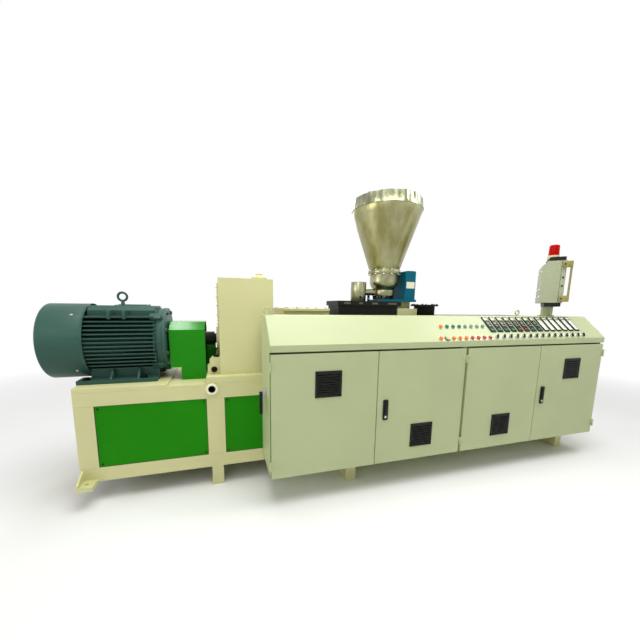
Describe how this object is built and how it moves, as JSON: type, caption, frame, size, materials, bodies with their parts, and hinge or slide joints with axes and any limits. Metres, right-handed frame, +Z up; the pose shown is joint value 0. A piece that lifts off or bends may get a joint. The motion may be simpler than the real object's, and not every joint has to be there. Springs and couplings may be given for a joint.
{
  "type": "conical twin-screw extruder with control cabinet",
  "caption": "Conical twin-screw extruder of a foam board line: motor, gearbox, barrel casing and steel hopper on a base frame, with a side control cabinet.",
  "frame": {"origin": "on the floor, at the centre of the outer four levelling stud holes in the block feet", "axes": "+X with the melt from motor to die flange, +Y away from the cabinet's doors, +Z up"},
  "size_m": [4.3315, 1.177, 2.222],
  "materials": {
    "cream_paint": "semi-gloss cream enamel",
    "green_paint": "gloss green enamel",
    "teal_paint": "satin dark teal enamel",
    "black_steel": "satin black",
    "bare_steel": "machined",
    "stainless": "bright stainless",
    "blue_paint": "gloss blue enamel",
    "cabinet_paint": "textured pale green powder coat",
    "black_plastic": "moulded black",
    "grey_plastic": "moulded grey",
    "olive_plastic": "moulded olive",
    "red_lens": "clear red moulding"
  },
  "bodies": {
    "machine": {"frame_rails": "cream_paint", "frame_posts": "cream_paint", "frame_deck": "cream_paint", "frame_end_plates": "cream_paint", "floor_feet": "cream_paint", "cabinet_beams": "cream_paint", "gearbox_bed": "cream_paint", "gearbox_housing": "cream_paint", "gearbox_breather": "cream_paint", "distribution_box": "cream_paint", "feeder_support": "cream_paint", "side_panels": "green_paint", "coupling_guard": "green_paint", "motor_housing": "teal_paint", "motor_fan_cowl": "teal_paint", "motor_end_shield": "teal_paint", "motor_terminal_box": "teal_paint", "motor_eye_bolt": "teal_paint", "barrel_casing": "black_steel", "feed_platform": "black_steel", "vent_port": "black_steel", "barrel_head": "bare_steel", "feeder_drive": "stainless", "feeder_bowl": "stainless", "hopper_cone": "stainless", "hopper_collar": "stainless", "feeder_stand": "blue_paint", "cabinet_end_walls": "cabinet_paint", "cabinet_floor": "cabinet_paint", "cabinet_back": "cabinet_paint", "console_fascia": "cabinet_paint", "console_slope": "cabinet_paint", "console_top": "cabinet_paint", "cabinet_centre_post": "cabinet_paint", "cabinet_lifting_eyes": "cabinet_paint", "cabinet_hinges": "cabinet_paint", "hmi_post": "cabinet_paint", "console_meters": "black_plastic", "console_knobs": "black_plastic", "isolator_boss": "grey_plastic", "console_lamps": "grey_plastic"},
    "door_1": {"door_1": "cabinet_paint", "door_1_fittings": "black_plastic"},
    "door_2": {"door_2": "cabinet_paint", "door_2_fittings": "black_plastic"},
    "door_3": {"door_3": "cabinet_paint", "door_3_fittings": "black_plastic"},
    "door_4": {"door_4": "cabinet_paint", "door_4_fittings": "black_plastic"},
    "coupling": {"drive_coupling": "black_steel"},
    "isolator": {"isolator_lever": "black_plastic"},
    "operator_panel": {"hmi_housing": "cabinet_paint", "hmi_caps": "black_plastic", "hmi_handles": "olive_plastic", "beacon_base": "cream_paint", "beacon_lens": "red_lens"}
  },
  "joints": [
    {"name": "door_1_hinge", "type": "hinge", "parent": "machine", "child": "door_1", "pos_m": [-0.8795, -0.732, 0.60725], "axis": [0, 0, -1], "range_deg": [0, 90]},
    {"name": "door_2_hinge", "type": "hinge", "parent": "machine", "child": "door_2", "pos_m": [0.586, -0.732, 0.60725], "axis": [0, 0, 1], "range_deg": [0, 90]},
    {"name": "door_3_hinge", "type": "hinge", "parent": "machine", "child": "door_3", "pos_m": [0.598, -0.732, 0.60725], "axis": [0, 0, -1], "range_deg": [0, 90]},
    {"name": "door_4_hinge", "type": "hinge", "parent": "machine", "child": "door_4", "pos_m": [2.0635, -0.732, 0.60725], "axis": [0, 0, 1], "range_deg": [0, 90]},
    {"name": "coupling_spin", "type": "hinge", "parent": "machine", "child": "coupling", "pos_m": [-1.378, 0, 1.048], "axis": [1, 0, 0], "continuous": true},
    {"name": "isolator_turn", "type": "hinge", "parent": "machine", "child": "isolator", "pos_m": [-0.904, -0.55175, 0.728], "axis": [-1, 0, 0], "range_deg": [0, 90]},
    {"name": "operator_panel_swivel", "type": "hinge", "parent": "machine", "child": "operator_panel", "pos_m": [1.722, -0.44, 1.362], "axis": [0, 0, 1], "range_deg": [-90, 90]}
  ]
}
